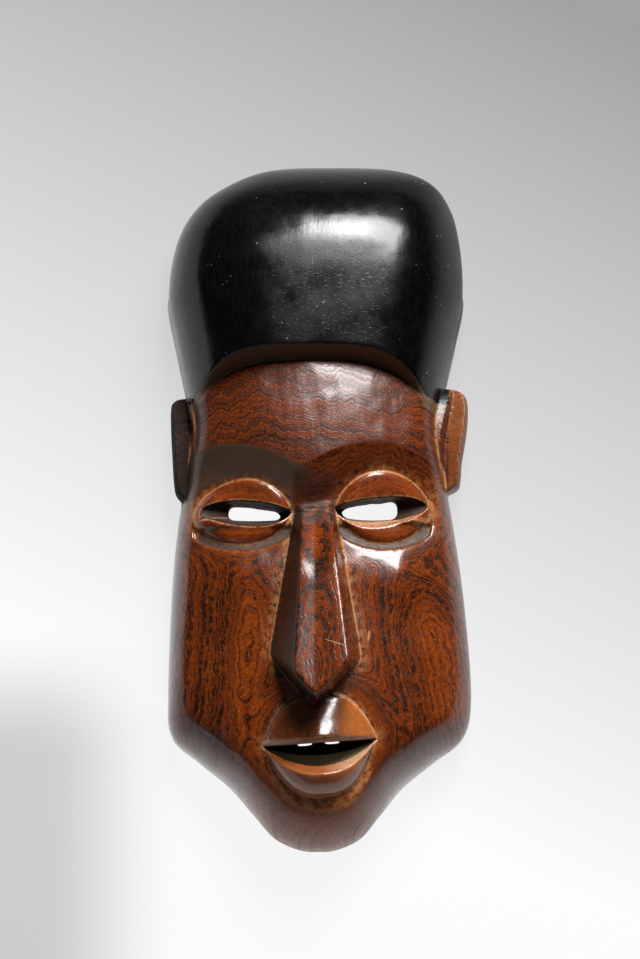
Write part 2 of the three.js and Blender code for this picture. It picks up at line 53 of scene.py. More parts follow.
# How finely the carving is worked out
CELL = 0.8
LOW_CORNER = (-92.0, -207.2, -2.8)
HIGH_CORNER = (92.0, 207.2, 101.6)
MOST_TRIANGLES = 188000

# The outline's right half from the crown to the chin, and how its middle line wanders
HALF_LENGTH = 205
OUTLINE = [
    (0, 205), (35, 201), (60, 190.5), (78.5, 174.5), (86.5, 152), (88.4, 125), (84.5, 103), (78.7, 76),
    (75, 58), (73.5, 38), (77.4, 12), (81.6, -14), (86, -54), (89, -112), (85.5, -137),
    (68, -152.5), (50.5, -167), (37, -183), (22.5, -198.5), (0, -205),
]
STEPS_BETWEEN_POINTS = 14
END_TRIM = 0.5
MIDDLE_LINE = [
    (-205, 0), (-153, -1), (-113, 1), (-3, -1.5), (107, -1.7), (157, 0), (178, 3.4), (192, 8.5), (205, 9),
]

# The hair: a squared dome that stands proud of the forehead, over a bevelled brim
HAIR = Sizes(wall_top=10, height=76, widest_y=125, top_run=80.5, top_power=2.3, front_drop=3, front_run=40)
HAIR_ROOF = Sizes(x=-7, left=0.06, right=0.015, round=3)
BRIM = Sizes(middle=-5, y=81.5, drop=22, half_width=67, lowest=57, bevel=6.5, sunk=2)
BRIM_GROOVE = Sizes(out=5.8, width=1.1, depth=1.3)

# The forehead, and the two brows that meet in a V over the nose
FOREHEAD = Sizes(z=70, swell=5, swell_y=30, swell_run=43, radius=115)
BROW = Sizes(middle=-9.5, reach=45, top_y=26, lowest=4, curve=0.0086, slope=0.7, edge=0.7, soft=5)

# The face behind the features
FACE_HEIGHT = [
    (-205, 37), (-198, 46), (-186, 54), (-168, 57.5), (-143, 59), (-103, 61), (-63, 60.5),
    (-33, 58.5), (-3, 57), (90, 60),
]
FACE_RADIUS = [(-205, 60), (-185, 80), (-163, 105), (-133, 140), (-63, 160), (90, 160)]
CHEEKBONE = Sizes(x=48, y=-49, height=4.5, spread_x=22, spread_y=20)
FLANK = Sizes(foot=6, width=12.5, jaw_more=8, jaw_y=(-112, -150), power=2.3)

# The eyes
LIDS = [
    Sizes(x=-44, y=-13, tilt=-0.03, half=30, up=20, down=18.8),
    Sizes(x=38.2, y=-10, tilt=0.06, half=29, up=21, down=21.4),
]
LID = Sizes(swell=7.5, sunk=1.5, fullness=0.7)
SOCKET = Sizes(depth=3.5, wider=1.22, higher=1.5)
UNDER_LID = Sizes(depth=2.2, width=3.2, edge=1)

# Each eye is cut in as a slit that narrows to a pocket, with a window through the pocket's floor
SLITS = [
    Sizes(x=-43.1, y=-12.6, tilt=-0.03, half=27.3, skew=-0.45, up=7, down=12.5, low_up=5.6, low_down=3.1,
          window=(-52.4, -21.5)),
    Sizes(x=37.0, y=-9.0, tilt=0.054, half=27.1, skew=0.45, up=4.2, down=17.3, low_up=4.5, low_down=6.2,
          window=(13.8, 46.4)),
]
SLIT = Sizes(surface_z=63, pocket_z=44, fullness=0.58, corner=4)

# The nose
NOSE = Sizes(
    middle=-1.6, top_y=-5, top_half=10.8, top_z=56.6, tip_y=-129, sunk=1, above_top=8, crowned=0.1,
    rounds=24, half=(26.5, 26.8), wing_y=(-98, -101), wing_bend=1.15,
)
NOSE_RISE = Sizes(upper=70, lower_from=75.4, lower=22.6, turn=3)
BRIDGE = Sizes(
    half=(6.4, 7.4), widening=(4.6, 12.5), lean=0.17, lean_from=0.125, left_edge=1.4, right_edge=4,
)

# The lips
LIPS = Sizes(x=1, y=-149, tilt=0.07, half=33, up=27, down=32, up_power=3, down_power=2.7)
UPPER = Sizes(
    height=16.5, edge=-3.2, chamfer=3.6, chamfer_slope=1.3, fullness=0.8, ridge=1.5, start=0.5,
    start_run=0.12,
)
LOWER = Sizes(height=17, inner=-15, inner_high=0.4, crest=0.39, turn=0.61, turn_high=0.9)
MOUTH = Sizes(
    plate_z=52, groove_z=44, groove_top=49, groove_more=20, groove_rise=-6.6, groove_share=0.5,
    slot_x=-0.6, slot_rise=1.8, slot_high=1.1, slot_half=4.3, slot_top_z=48, bridge=3.6,
)

# The ears, each with its reach outwards at some heights
EARS = [
    Sizes(side=-1, reach=[
        (0.5, 79), (3, 82), (8, 84.5), (30, 86.2), (45, 87), (57, 87), (61, 85.5), (63, 80),
    ]),
    Sizes(side=1, reach=[
        (6, 79), (8, 81.5), (11, 83.8), (24, 85), (43, 88), (57, 88.8), (65, 87), (68.5, 81),
    ]),
]
EAR = Sizes(
    root=64, ridge=72, ridge_turn_y=37, ridge_lean=0.22, ridge_z=39, hollow_share=0.24, hollow_z=27,
    rim_z=34, rim_width=2.4, edge_z=22, end_z=25, back_z=12,
)

# The hollow behind
RIM_WIDTH = 11
HOLLOW = Sizes(slope=2, round=10, radius=260)
HOLLOW_CEILING = [
    (-205, 18), (-173, 31), (-123, 39), (-63, 42), (17, 43), (87, 50), (147, 52), (205, 38),
]

# How softly the forms run into each other, and how softly the cuts meet them
JOINS = Sizes(
    forehead=5, hair=0.8, hair_wall=3, brim=1.2, nose=0.8, nose_end=3, lids=0.6, lips=0.6, ears=1.5,
)
CUT_EDGES = Sizes(mouth=0.8, eyes=1.2, hollow=1, ends=0.4, foot=0.6)

# The wood's figure: upright lines that close in arches on the cheeks, and that follow the forms elsewhere
FIGURE = Sizes(
    left_x=-40, left_y=-76, right_x=68, right_y=-84, arch=0.6, right_lean=0.22, apex=3, lid_reach=10,
    mouth_reach=12, peak_x=-33, peak_slope=0.34, peak_reach=26, nose_length=0.14, nose_z=0.2, lips_z=0.25,
)

# A corner this near to a form's surface lies on it, and below this height none belongs to the lids
SURFACE = 0.3
LOWEST_LID = 40

# Small pale marks on the right cheek and on the nose: place, half length and half width, and turn
MARKS = [(29.5, -87, 3.2, 0.8, 1.45), (9.5, -98, 6.5, 0.3, -0.35)]

# The hand of the carver: slow waves left by the knife on the face, gouge marks in the hollow
KNIFE_WAVES = [(0.22, 34, 3), (0.07, 11, 5)]
GOUGE_WAVES = [(0.9, 17, 8), (0.35, 7, 9)]
WAVES_IN_LAYER = 14
WAVE_SPREAD = (0.7, 1.5)

# The parts of the carving that each place is measured from, and how far that reaches
PARTS = ["block", "nose", "lips", "others", "cuts", "hollow"]
LAYER_REACH = 12


# Small helpers
def soft_min(a, b, k):
    h = np.maximum(k - np.abs(a - b), 0) / k
    return np.minimum(a, b) - h * h * k / 4


def soft_max(a, b, k):
    return -soft_min(-a, -b, k)


def smooth(low, high, v):
    t = np.clip((v - low) / (high - low), 0, 1)
    return t * t * (3 - 2 * t)


def mixed(a, b, share):
    return a + (b - a) * share


def sag(x, radius):
    return radius - np.sqrt(np.maximum(radius * radius - x * x, 0))


def along(stations, v):
    """A smooth curve through a short list of stations, sampled at v."""
    places, heights = np.array(stations, float).T
    last = len(places) - 1
    before = np.maximum(np.arange(last + 1) - 1, 0)
    after = np.minimum(np.arange(last + 1) + 1, last)
    slopes = (heights[after] - heights[before]) / (places[after] - places[before])
    v = np.asarray(v, float)
    i = np.clip(np.searchsorted(places, v) - 1, 0, last - 1)
    span = places[i + 1] - places[i]
    t = np.clip((v - places[i]) / span, 0, 1)
    rise = 3 * t ** 2 - 2 * t ** 3
    start = slopes[i] * span * (t ** 3 - 2 * t ** 2 + t)
    end = slopes[i + 1] * span * (t ** 3 - t ** 2)
    return heights[i] * (1 - rise) + heights[i + 1] * rise + start + end


def waves(x, y, layers):
    """Slow irregular waves over a plane, from layers of amplitude, length and seed."""
    total = np.zeros_like(x)
    for amplitude, length, seed in layers:
        draw = np.random.default_rng(seed)
        turns = draw.uniform(0, math.tau, WAVES_IN_LAYER)
        lengths = length * draw.uniform(*WAVE_SPREAD, WAVES_IN_LAYER)
        starts = draw.uniform(0, math.tau, WAVES_IN_LAYER)
        for turn, one, start in zip(turns, lengths, starts):
            across = x * math.cos(turn) + y * math.sin(turn)
            total += amplitude * math.sqrt(2 / WAVES_IN_LAYER) * np.cos(math.tau * across / one + start)
    return total


def steepness(height):
    """How much longer the surface is than its plan, for turning heights into distances."""
    down_x, down_y = np.gradient(height, CELL)
    return np.sqrt(1 + down_x ** 2 + down_y ** 2)


# The grid that the carving is worked out on
GRID_X, GRID_Y, GRID_Z = (
    np.arange(low, high + CELL, CELL) for low, high in zip(LOW_CORNER, HIGH_CORNER))
X, Y = np.meshgrid(GRID_X, GRID_Y, indexing="ij")


def outline():
    """The closed outline, smooth through its control points and their mirror image."""
    right = np.array(OUTLINE, float)
    left = right[1:-1][::-1] * (-1, 1)
    knots = np.vstack([right, left])
    t = np.linspace(0, 1, STEPS_BETWEEN_POINTS, endpoint=False)[:, None]
    parts = []
    for i in range(len(knots)):
        a, b, c, d = (knots[(i + n) % len(knots)] for n in (-1, 0, 1, 2))
        parts.append(0.5 * (2 * b + (c - a) * t + (2 * a - 5 * b + 4 * c - d) * t ** 2
                            + (3 * b - a - 3 * c + d) * t ** 3))
    return np.vstack(parts)


RING = outline()


def middle_at(y):
    return along(MIDDLE_LINE, y)


def half_width_at(y):
    """Half the width of the outline at each height."""
    right = RING[: len(RING) // 2 + 1]
    order = np.argsort(right[:, 1])
    return np.interp(y, right[order, 1], right[order, 0])


def depth_inside(x, y):
    """How far each point lies inside the outline; less than nothing outside it."""
    px = x - middle_at(y)
    nearest = np.full_like(x, np.inf)
    for a, b in zip(RING, np.roll(RING, -1, axis=0)):
        edge = b - a
        t = np.clip(((px - a[0]) * edge[0] + (y - a[1]) * edge[1]) / edge.dot(edge), 0, 1)
        nearest = np.minimum(nearest, np.hypot(px - a[0] - t * edge[0], y - a[1] - t * edge[1]))
    within = (np.abs(px) <= half_width_at(y)) & (np.abs(y) < HALF_LENGTH)
    return np.where(within, nearest, -nearest)


# Heights of the broad forms
def brim_y(x):
    across = np.abs(x - BRIM.middle) / BRIM.half_width
    return np.maximum(BRIM.y - BRIM.drop * across ** 4, BRIM.lowest)


def brow_y(x):
    beyond = np.hypot(x - BROW.middle, BROW.soft) - BROW.reach
    return np.maximum(BROW.top_y - BROW.curve * beyond ** 2, BROW.lowest)


def forehead_height(x, y):
    rise = 1 - ((y - FOREHEAD.swell_y) / FOREHEAD.swell_run) ** 2
    return FOREHEAD.z + FOREHEAD.swell * rise - sag(x, FOREHEAD.radius)


def in_almond(almond, x, y):
    """How far along an almond each point lies, and how far out from its middle line."""
    dx, dy = x - almond.x, y - almond.y
    cos, sin = math.cos(almond.tilt), math.sin(almond.tilt)
    return (dx * cos + dy * sin) / almond.half, dy * cos - dx * sin


def under_lids(x, y):
    """The groove that is cut below the lower lids, from 0 outside it to 1 in it."""
    inside = np.zeros_like(x)
    for lid in LIDS:
        u, rise = in_almond(lid, x, y)
        out = (np.hypot(u, rise / lid.down) - 1) * lid.down
        wide = UNDER_LID.width * smooth(-0.3, -0.85, rise / lid.down)
        inside = np.maximum(inside, smooth(wide + UNDER_LID.edge, wide, out) * smooth(0, 1, wide))
    return inside


def socket_depth(x, y):
    depth = UNDER_LID.depth * under_lids(x, y)
    for lid in LIDS:
        u, rise = in_almond(lid, x, y)
        high = SOCKET.higher * np.where(rise > 0, lid.up, lid.down)
        out = (u / SOCKET.wider) ** 2 + (rise / high) ** 2
        depth += SOCKET.depth * np.maximum(1 - out, 0) ** 2
    return depth


def cheek_height(x, y):
    plain = along(FACE_HEIGHT, y) - sag(x, along(FACE_RADIUS, y))
    for side in (-1, 1):
        out = ((x - side * CHEEKBONE.x) / CHEEKBONE.spread_x) ** 2
        up = ((y - CHEEKBONE.y) / CHEEKBONE.spread_y) ** 2
        plain = plain + CHEEKBONE.height * np.exp(-out - up)
    return plain - socket_depth(x, y)


def bare_face_height(x, y):
    """The face with its forehead, brows and cheeks, before its flanks are rounded."""
    crease = brow_y(x)
    brow = forehead_height(x, crease) + BROW.slope * (y - crease)
    upper = soft_min(forehead_height(x, y), brow, BROW.edge)
    groove = (brim_y(x) - y - BRIM_GROOVE.out) / BRIM_GROOVE.width
    upper = upper - BRIM_GROOVE.depth * np.exp(-groove ** 2)
    return soft_max(upper, cheek_height(x, y), JOINS.forehead)


class Rounded:
    """A broad form: a height over the plan that rounds over into upright flanks."""

    def __init__(self, height, depth, foot, width, power):
        self.height, self.foot, self.power = np.maximum(height, foot + 5), foot, power
        self.width = width
        self.outward = np.clip(1 - depth / width, 0, 3)
        self.steep = steepness(height)

    def field(self, z):
        up = max(z - self.foot, 0) / (self.height - self.foot)
        total = self.outward ** self.power + up ** self.power + 1e-6
        lean = total ** (1 / self.power - 1)
        by_side = self.outward ** (self.power - 1) / self.width
        by_top = up ** (self.power - 1) * self.steep / (self.height - self.foot)
        slope = lean * np.hypot(by_side, by_top) + 1e-4
        return (1 - total ** (1 / self.power)) / slope


class Hair:
    """The dome of the hair over its brim, with its bevelled underside."""

    def __init__(self, depth, face):
        side_at = np.where(Y > HAIR.widest_y, half_width_at(HAIR.widest_y), half_width_at(Y))
        self.depth = depth
        self.side_width = np.maximum(side_at, 20)
        self.side = np.abs(X - middle_at(Y)) / self.side_width
        self.top = np.maximum(Y - HAIR.widest_y, 0) / HAIR.top_run
        forward = np.maximum(HAIR.widest_y - np.maximum(Y, brim_y(X)), 0) / HAIR.front_run
        aside = X - HAIR_ROOF.x
        slope = np.where(aside < 0, HAIR_ROOF.left, HAIR_ROOF.right)
        roof = slope * (np.sqrt(aside ** 2 + HAIR_ROOF.round ** 2) - HAIR_ROOF.round)
        self.high = HAIR.height - HAIR.front_drop * forward ** 2 - roof
        at_brim = HAIR.wall_top + self.high * np.sqrt(np.maximum(1 - self.side ** 4, 0))
        foot = face - BRIM.sunk
        slope = np.maximum((at_brim - foot) / BRIM.bevel, 0.8)
        self.bevel_height = at_brim + (Y - brim_y(X)) * slope
        self.bevel_steep = np.sqrt(1 + slope ** 2)

    def field(self, z):
        up = max(z - HAIR.wall_top, 0) / self.high
        total = up ** 2 + self.top ** HAIR.top_power + self.side ** 4
        by_top = HAIR.top_power * self.top ** (HAIR.top_power - 1) / HAIR.top_run
        slope = np.sqrt((2 * up / self.high) ** 2 + by_top ** 2
                        + (4 * self.side ** 3 / self.side_width) ** 2) + 1e-3
        dome = (1 - total) / slope
        bevel = (self.bevel_height - z) / self.bevel_steep
        return soft_min(soft_min(dome, self.depth, JOINS.hair_wall), bevel, JOINS.brim)


class Lid:
    """A swelling over an almond, which sinks into the face at its ends."""

    def __init__(self, lid, face):
        u, rise = in_almond(lid, X, Y)
        taper = np.maximum(1 - u ** 2, 0.01) ** LID.fullness
        self.wide = np.where(rise > 0, lid.up, lid.down) * taper
        self.high = (LID.swell + LID.sunk) * np.maximum(1 - u ** 4, 0.02)
        self.base = face - LID.sunk
        self.across = rise / self.wide
        self.ends = (1 - np.abs(u)) * lid.half

    def field(self, z):
        up = np.maximum(z - self.base, 0) / self.high
        total = up ** 2 + self.across ** 2
        slope = 2 * np.sqrt((up / self.high) ** 2 + (self.across / self.wide) ** 2) + 1e-3
        return np.minimum((1 - total) / slope, self.ends)


class Slit:
    """The cut of one eye, which narrows to a pocket with a window through its floor."""

    def __init__(self, slit):
        self.slit = slit
        self.u, self.rise = in_almond(slit, X, Y)
        self.taper = np.maximum(1 - self.u ** 2, 0) ** SLIT.fullness
        first, last = slit.window
        middle, half = (first + last) / 2, (last - first) / 2
        self.in_window = half - np.abs(X - middle)

    def field(self, z):
        slit = self.slit
        deep = min(max((SLIT.surface_z - z) / (SLIT.surface_z - SLIT.pocket_z), 0), 1)
        up = (slit.up + (slit.low_up - slit.up) * deep) * (1 + slit.skew * self.u)
        down = slit.down + (slit.low_down - slit.down) * deep
        tall = np.where(self.rise > 0, up, down)
        lean = np.sqrt(1 + (1.1 * self.u * tall / slit.half) ** 2)
        cut = (tall * self.taper - np.abs(self.rise)) / lean
        if z < SLIT.pocket_z:
            through = soft_min(cut, self.in_window, SLIT.corner)
            return np.maximum(through, np.minimum(cut, z - SLIT.pocket_z))
        return cut


class Nose:
    """A wedge with a flat bridge, whose lower edge is a V through the tip and the nostrils."""

    def __init__(self, face):
        dx = X - NOSE.middle
        on_right = np.where(dx < 0, 0, 1)
        half = np.choose(on_right, NOSE.half)
        wing_drop = np.choose(on_right, NOSE.wing_y) - NOSE.tip_y
        # t runs from 0 at the nose's top to 1 at its lower edge, which depends on how far aside a point is
        t = np.clip((NOSE.top_y - Y) / (NOSE.top_y - NOSE.tip_y), 0, 1.3)
        for _ in range(NOSE.rounds):
            wide = NOSE.top_half + (half - NOSE.top_half) * t
            share = np.abs(dx) / wide
            lowest = NOSE.tip_y + wing_drop * np.minimum(share, 1.2) ** NOSE.wing_bend
            new = (NOSE.top_y - Y) / (NOSE.top_y - lowest)
            t = 0.5 * t + 0.5 * np.clip(new, -0.2, 1.6)
        steep_part = NOSE.top_z + NOSE_RISE.upper * t
        long_part = NOSE_RISE.lower_from + NOSE_RISE.lower * t
        ridge = soft_min(steep_part, long_part, NOSE_RISE.turn)
        foot = face - NOSE.sunk
        down = np.clip(t, 0, 1)
        lean = BRIDGE.lean * dx * np.clip(t / BRIDGE.lean_from, 0, 1)
        crown = ridge - NOSE.crowned * (ridge - foot) * share ** 2 + lean
        flat = np.choose(on_right, BRIDGE.half) + np.choose(on_right, BRIDGE.widening) * down
        side = foot + np.maximum(ridge - foot, 1) * (1 - share) / (1 - flat / wide)
        self.height = soft_min(crown, side, BRIDGE.left_edge + on_right * BRIDGE.right_edge * down)
        self.steep = steepness(self.height)
        run = NOSE.top_y - lowest
        self.underside = (1 - t) * run / steepness(lowest)
        self.root = t * run + NOSE.above_top

    def field(self, z):
        top = (self.height - z) / self.steep
        return np.minimum(soft_min(top, self.underside, JOINS.nose_end), self.root)


class Lips:
    """Both lips round a sunken mouth, and the recess between them."""

    def __init__(self, face):
        u, rise = in_almond(LIPS, X, Y)
        near = np.minimum(np.abs(u), 1)
        flat = 1 - near ** 2
        top = LIPS.up * (1 - near ** LIPS.up_power)
        bottom = -LIPS.down * (1 - near ** LIPS.down_power)
        upper_edge = UPPER.edge * flat
        lower_edge = LOWER.inner * flat
        t = np.clip((rise - upper_edge) / np.maximum(top - upper_edge, 0.4), 0, 1)
        full = UPPER.height * (1 - near ** UPPER.ridge) ** UPPER.fullness
        slope = UPPER.start + (1 - UPPER.start) * (1 - t)
        self.upper = face + full * soft_min(slope, (1 - t) / UPPER.start_run, 0.3)
        self.upper_steep = np.minimum(steepness(self.upper), 4)
        lean = UPPER.chamfer_slope
        self.chamfer = face + full + lean * (rise - upper_edge - UPPER.chamfer * flat ** 0.5)
        self.chamfer_steep = math.sqrt(1 + lean ** 2)
        self.upper_wall = soft_min(rise - upper_edge, top - rise + 1.5, 0.5)
        span = np.maximum(lower_edge - bottom, 0.4)
        share = np.clip((lower_edge - rise) / span, 0, 1)
        crest, turn, turn_high = LOWER.crest, LOWER.turn, LOWER.turn_high
        inner = LOWER.inner_high + (1 - LOWER.inner_high) * share / crest
        front = 1 - (1 - turn_high) * (share - crest) / (turn - crest)
        under = turn_high * np.sqrt((1 - share) / (1 - turn))
        curve = soft_min(soft_min(inner, front, 0.1), under, 0.16)
        self.lower = face - 1 + (LOWER.height + 1) * flat * curve
        self.lower_steep = np.minimum(steepness(self.lower), 4)
        self.lower_wall = soft_min(lower_edge - rise, rise - bottom, 0.5)
        self.ends = (1 - np.abs(u)) * LIPS.half
        self.recess = np.minimum(np.minimum(upper_edge - rise, rise - lower_edge), self.ends)
        groove_end = upper_edge + MOUTH.groove_share * (top - upper_edge)
        self.under = np.minimum(np.minimum(groove_end - rise, rise - MOUTH.groove_rise * flat), self.ends)
        self.groove_top = MOUTH.groove_top + MOUTH.groove_more * flat

    def upper_field(self, z):
        top = soft_min((self.upper - z) / self.upper_steep, (self.chamfer - z) / self.chamfer_steep, 0.8)
        return np.minimum(top, np.minimum(self.upper_wall, self.ends))

    def lower_field(self, z):
        return np.minimum((self.lower - z) / self.lower_steep, np.minimum(self.lower_wall, self.ends))

    def recess_field(self, z):
        """The open mouth: a plate behind the lips, and a deeper groove under the upper one."""
        plate = np.minimum(self.recess, z - MOUTH.plate_z)
        within = np.minimum(z - MOUTH.groove_z, self.groove_top - z)
        return np.maximum(plate, np.minimum(self.under, within))


def mouth_slot_field(side):
    """One of the two small windows through the plate behind the lips."""
    u, rise = in_almond(LIPS, X, Y)
    dx = u * LIPS.half - MOUTH.slot_x - side * (MOUTH.bridge + MOUTH.slot_half)
    out = np.sqrt((dx / MOUTH.slot_half) ** 4 + ((rise - MOUTH.slot_rise) / MOUTH.slot_high) ** 4)
    return (1 - np.sqrt(out)) * MOUTH.slot_high


class Ear:
    """A plate on the flank, with a ridge towards the face, a hollow and a rim."""

    def __init__(self, ear):
        out = X * ear.side
        bottom, top = ear.reach[0][0], ear.reach[-1][0]
        y = np.clip(Y, bottom, top)
        outer = along(ear.reach, y)
        full = np.sqrt(np.sin(math.pi * (y - bottom) / (top - bottom)))
        ridge = EAR.ridge + EAR.ridge_lean * np.maximum(y - EAR.ridge_turn_y, 0)
        wide = np.maximum(outer - ridge, 0.2)
        rim = outer - np.minimum(EAR.rim_width, wide * 0.4)
        end = EAR.end_z
        ridge_z, floor_z, rim_z = (end + (z - end) * full for z in (EAR.ridge_z, EAR.hollow_z, EAR.rim_z))
        stations = [(ridge, ridge_z), (ridge + (rim - ridge) * EAR.hollow_share, floor_z), (rim, rim_z),
                    (outer + 1, EAR.edge_z)]
        self.front = ridge_z
        for (start, low), (stop, high) in zip(stations, stations[1:]):
            share = np.clip((out - start) / np.maximum(stop - start, 0.2), 0, 1)
            self.front = np.where(out > start, mixed(low, high, share), self.front)
        self.steep = np.minimum(steepness(self.front), 3)
        ends = np.minimum(Y - bottom, top - Y)
        self.plan = soft_min(soft_min(outer - out, ends, 4), out - EAR.root, 1)

    def field(self, z):
        shell = soft_min((self.front - z) / self.steep, z - EAR.back_z, 2)
        return soft_min(shell, self.plan, 2)


def carving():
    """How far each place of the grid lies inside the wood, and how far inside each of its parts."""
    depth = depth_inside(X, Y)
    knife = waves(X, Y, KNIFE_WAVES)
    bare = bare_face_height(X, Y) + knife
    width = FLANK.width + FLANK.jaw_more * smooth(*FLANK.jaw_y, Y)
    block = Rounded(bare, depth, FLANK.foot, width, FLANK.power)
    outward = np.clip(1 - depth / FLANK.width, 0, 1)
    rounding = (1 - outward ** FLANK.power) ** (1 / FLANK.power)
    face = FLANK.foot + (bare - FLANK.foot) * rounding
    hair = Hair(depth, face)
    nose = Nose(face)
    lids = [Lid(one, face) for one in LIDS]
    slits = [Slit(one) for one in SLITS]
    lips = Lips(face)
    ears = [Ear(one) for one in EARS]
    slots = [mouth_slot_field(side) for side in (-1, 1)]
    wall = HOLLOW.slope * (depth - RIM_WIDTH)
    ceiling = along(HOLLOW_CEILING, Y) - sag(X, HOLLOW.radius) + waves(X, Y, GOUGE_WAVES)
    hollow = soft_min(wall, ceiling, HOLLOW.round)
    hollow_steep = steepness(hollow)
    trim = HALF_LENGTH - END_TRIM - np.abs(Y)
    field = np.empty((len(GRID_X), len(GRID_Y), len(GRID_Z)), np.float32)
    parts = {name: np.empty(field.shape, np.float16) for name in PARTS}
    for k, z in enumerate(GRID_Z):
        wood = np.minimum(block.field(z), HAIR.widest_y - Y)
        wood = soft_max(wood, hair.field(z), JOINS.hair)
        layers = {"block": wood, "nose": nose.field(z)}
        eyelids = np.maximum(lids[0].field(z), lids[1].field(z))
        upper_lip, lower_lip = lips.upper_field(z), lips.lower_field(z)
        plates = np.maximum(ears[0].field(z), ears[1].field(z))
        for form, join in ((layers["nose"], JOINS.nose), (eyelids, JOINS.lids), (upper_lip, JOINS.lips),
                           (lower_lip, JOINS.lips), (plates, JOINS.ears)):
            wood = soft_max(wood, form, join)
        layers["lips"] = np.maximum(upper_lip, lower_lip)
        layers["others"] = np.maximum(eyelids, plates)
        opened = lips.recess_field(z)
        wood = soft_min(wood, -opened, CUT_EDGES.mouth)
        for slit in slits:
            cut = slit.field(z)
            wood = soft_min(wood, -cut, CUT_EDGES.eyes)
            opened = np.maximum(opened, cut)
        layers["cuts"] = opened
        layers["hollow"] = (hollow - z) / hollow_steep
        for name, layer in layers.items():
            parts[name][:, :, k] = np.clip(layer, -LAYER_REACH, LAYER_REACH)
        if z < MOUTH.slot_top_z:
            for slot in slots:
                wood = np.minimum(wood, -slot)
        wood = soft_min(wood, (z - hollow) / hollow_steep, CUT_EDGES.hollow)
        wood = soft_min(wood, trim, CUT_EDGES.ends)
        field[:, :, k] = soft_min(wood, np.full_like(wood, z), CUT_EDGES.foot)
    return field, parts


def sampled(volume, places):
    """A volume's values at places between its grid points."""
    at = (places - np.array(LOW_CORNER)) / CELL
    low = np.clip(np.floor(at).astype(int), 0, np.array(volume.shape) - 2)
    share = at - low
    total = np.zeros(len(places))
    for step in np.ndindex(2, 2, 2):
        weight = np.prod(np.where(step, share, 1 - share), axis=1)
        total += weight * volume[tuple((low + step).T)]
    return total


def arches(aside, above):
    return np.hypot(np.hypot(aside, FIGURE.apex), FIGURE.arch * np.maximum(above, 0))


def following(rings, out, reach):
    """Lets the rings close to a form run round it."""
    return mixed(rings, out, np.exp(-(np.maximum(out, 0) / reach) ** 2))


def figure_at(places, on_nose, on_lips):
    """The growth rings that come to the surface at each place, as a distance across them."""
    x, y, z = places.T
    left = arches(x - FIGURE.left_x, y - FIGURE.left_y)
    lean = FIGURE.right_lean * (y - FIGURE.right_y)
    right = arches(x - FIGURE.right_x + lean, y - FIGURE.right_y)
    rings = mixed(left, right, smooth(-12, 12, x))
    rings = mixed(rings, x - FIGURE.left_x, smooth(-156, -172, y))
    u, rise = in_almond(LIPS, x, y)
    mouth = np.hypot(u, rise / LIPS.down)
    rings = following(rings, LIPS.down * (mouth - 1), FIGURE.mouth_reach)
    off_lids = np.inf
    for lid in LIDS:
        u, rise = in_almond(lid, x, y)
        off_lids = np.minimum(off_lids, np.hypot(u, rise / lid.up) - 1)
        out = (np.hypot(u, rise / np.where(rise > 0, lid.up, lid.down)) - 1) * lid.down
        rings = following(rings, out, FIGURE.lid_reach)
    brow = brow_y(x)
    rings = mixed(rings, brow - y, smooth(-8, 4, y) * smooth(-0.02, 0.1, off_lids))
    aside = np.hypot(x - FIGURE.peak_x, FIGURE.apex)
    fading = FIGURE.peak_reach * (1 - np.exp(-aside / FIGURE.peak_reach))
    drop = np.where(x < FIGURE.peak_x, aside, fading)
    rings = mixed(rings, y + FIGURE.peak_slope * drop, smooth(-1, 1.5, y - brow))
    nose = np.hypot(x - NOSE.middle, FIGURE.nose_length * (y - NOSE.tip_y)) + FIGURE.nose_z * z
    rings = np.where(on_nose > -SURFACE, nose, rings)
    return np.where(on_lips > -SURFACE, LIPS.down * mouth + FIGURE.lips_z * z, rings)


def pale_lips(places, on_lips):
    """How much painted light and reflection each place gets: the upper lip's bevel and the lower lip's
    inside.
    """
    u, rise = in_almond(LIPS, places[:, 0], places[:, 1])
    flat = np.maximum(1 - u ** 2, 0)
    upper_edge, lower_edge = UPPER.edge * flat, LOWER.inner * flat
    bottom = -LIPS.down * (1 - np.abs(u) ** LIPS.down_power)
    above_edge = rise - upper_edge
    bevel = smooth(UPPER.chamfer, 0.6 * UPPER.chamfer, above_edge)
    bevel = bevel * smooth(-1.6, -0.8, above_edge)
    share = (lower_edge - rise) / np.maximum(lower_edge - bottom, 0.4)
    inner = smooth(LOWER.crest + 0.04, LOWER.crest - 0.04, share) * smooth(-0.02, 0.02, share)
    return (on_lips > -0.4) * np.maximum(bevel * smooth(1, 0, u), inner * smooth(-0.05, 0.5, u))


def left_brow(places):
    """How much each place belongs to the facet under the left brow, which gets a painted olive reflection.
    """
    x, y = places[:, 0], places[:, 1]
    u, rise = in_almond(LIDS[0], x, y)
    over_lid = smooth(0.05, 0.2, np.hypot(u, rise / LIDS[0].up) - 1)
    return smooth(0.4, -0.6, y - brow_y(x)) * smooth(4, -16, x) * smooth(-4, 4, y) * over_lid


